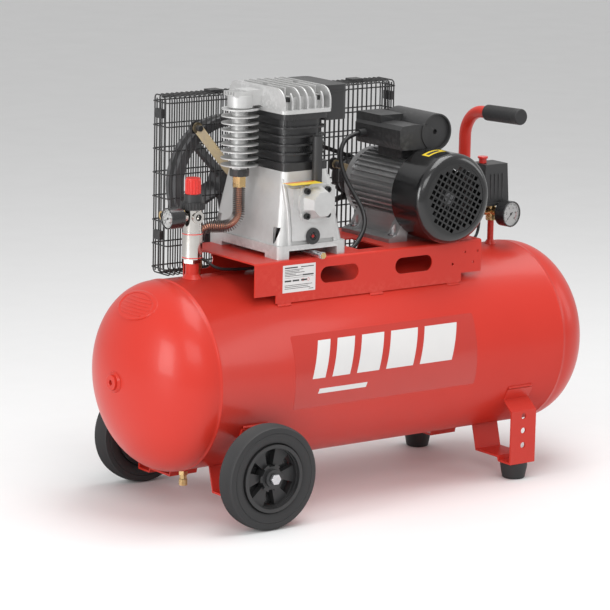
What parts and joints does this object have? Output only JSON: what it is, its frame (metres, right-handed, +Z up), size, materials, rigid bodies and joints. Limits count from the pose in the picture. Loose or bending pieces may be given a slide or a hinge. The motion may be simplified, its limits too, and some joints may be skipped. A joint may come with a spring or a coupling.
{
  "type": "belt-driven air compressor",
  "caption": "Belt-driven piston air compressor: vertical cylinders, finned head, motor, wire belt guard, gauges and handle on a horizontal wheeled tank.",
  "frame": {"origin": "middle of the bounding box bottom face, on the floor", "axes": "+X along the tank towards the handle, +Y towards the belt side, +Z up"},
  "size_m": [1.091, 0.4918, 0.816],
  "materials": {
    "tank_paint": "satin",
    "cast_alloy": "as cast, silver paint",
    "black_iron": "gloss black paint",
    "steel": "machined",
    "zinc_yellow": "yellow zinc plate",
    "zinc_bolt": "zinc plate",
    "brass": "turned",
    "copper": "drawn copper",
    "fin_metal": "thin sheet",
    "chrome": "polished",
    "black_plastic": "moulded",
    "red_knob": "moulded",
    "motor_paint": "grey paint",
    "black_gloss": "gloss black paint",
    "rotor_steel": "laminated",
    "tyre_rubber": "moulded",
    "rubber": "moulded",
    "gauge_case": "moulded",
    "wire_black": "coated wire",
    "flywheel_grey": "painted",
    "cable": "cable jacket"
  },
  "bodies": {
    "base": {"tank_shell": "tank_paint", "tank_head_left": "tank_paint", "tank_head_right": "tank_paint", "end_plug": "zinc_bolt", "tank_posts": "tank_paint", "drain_valve_body": "brass", "platform": "tank_paint", "support_brackets": "tank_paint", "axle_bolts": "zinc_bolt", "rubber_feet": "rubber", "crankcase": "cast_alloy", "crank_cover": "cast_alloy", "pump_screws": "zinc_bolt", "cylinder_block": "black_iron", "cylinder_head": "cast_alloy", "air_filter": "black_plastic", "sight_glass": "black_plastic", "oil_drain_tube": "zinc_bolt", "breather_tube": "black_plastic", "aftercooler": "cast_alloy", "delivery_pipe": "copper", "brass_fittings": "brass", "pipe_fins": "fin_metal", "v_belt": "rubber", "motor_body": "motor_paint", "end_shields": "motor_paint", "fan_cover": "black_gloss", "terminal_box": "black_plastic", "mount_bolts": "zinc_bolt", "guard_front": "wire_black", "guard_back": "wire_black", "guard_fittings": "black_plastic", "guard_stays": "zinc_yellow", "handle_tube": "tank_paint", "handle_grip": "rubber", "regulator_body": "chrome", "regulator_bonnet": "black_plastic", "gauge_left": "gauge_case", "switch_manifold": "brass", "pressure_switch": "black_plastic", "gauge_right": "gauge_case", "motor_cable": "cable", "unloader_tube": "cable"},
    "wheel_front": {"tyre_front": "tyre_rubber", "hub_front": "black_plastic"},
    "wheel_rear": {"tyre_rear": "tyre_rubber", "hub_rear": "black_plastic"},
    "crank": {"crankshaft": "steel", "flywheel": "flywheel_grey"},
    "motor_spin": {"motor_rotor": "rotor_steel", "motor_fan": "black_plastic", "motor_pulley": "flywheel_grey"},
    "front_piston": {"piston_front": "cast_alloy", "con_rod_front": "cast_alloy"},
    "rear_piston": {"piston_rear": "cast_alloy", "con_rod_rear": "cast_alloy"},
    "pressure_knob": {"regulator_knob": "red_knob"},
    "power_knob": {"switch_knob": "red_knob"},
    "drain_knob": {"drain_valve_knob": "brass"}
  },
  "joints": [
    {"name": "wheel_front_spin", "type": "hinge", "parent": "base", "child": "wheel_front", "pos_m": [-0.32949, -0.217, 0.102], "axis": [0, 1, 0], "continuous": true},
    {"name": "wheel_rear_spin", "type": "hinge", "parent": "base", "child": "wheel_rear", "pos_m": [-0.32949, 0.217, 0.102], "axis": [0, 1, 0], "continuous": true},
    {"name": "crank_turn", "type": "hinge", "parent": "base", "child": "crank", "pos_m": [-0.15649, 0.007, 0.599], "axis": [0, 1, 0], "continuous": true},
    {"name": "motor_turn", "type": "hinge", "parent": "base", "child": "motor_spin", "pos_m": [0.15651, 0.187, 0.584], "axis": [0, 1, 0], "continuous": true},
    {"name": "front_piston_slide", "type": "slide", "parent": "base", "child": "front_piston", "axis": [0, 0, 1], "range_m": [-0.046, 0]},
    {"name": "rear_piston_slide", "type": "slide", "parent": "base", "child": "rear_piston", "axis": [0, 0, 1], "range_m": [0, 0.046]},
    {"name": "pressure_knob_turn", "type": "hinge", "parent": "base", "child": "pressure_knob", "pos_m": [-0.36149, 0, 0.616], "axis": [0, 0, 1], "range_deg": [-540, 540]},
    {"name": "power_knob_pull", "type": "slide", "parent": "base", "child": "power_knob", "axis": [0, 0, 1], "range_m": [0, 0.008]},
    {"name": "drain_knob_turn", "type": "hinge", "parent": "base", "child": "drain_knob", "pos_m": [-0.37549, 0, 0.057], "axis": [0, 0, 1], "range_deg": [-360, 360]}
  ],
  "couplings": [
    {"joint": "motor_turn", "follows": "crank_turn", "ratio": 3.5278}
  ]
}
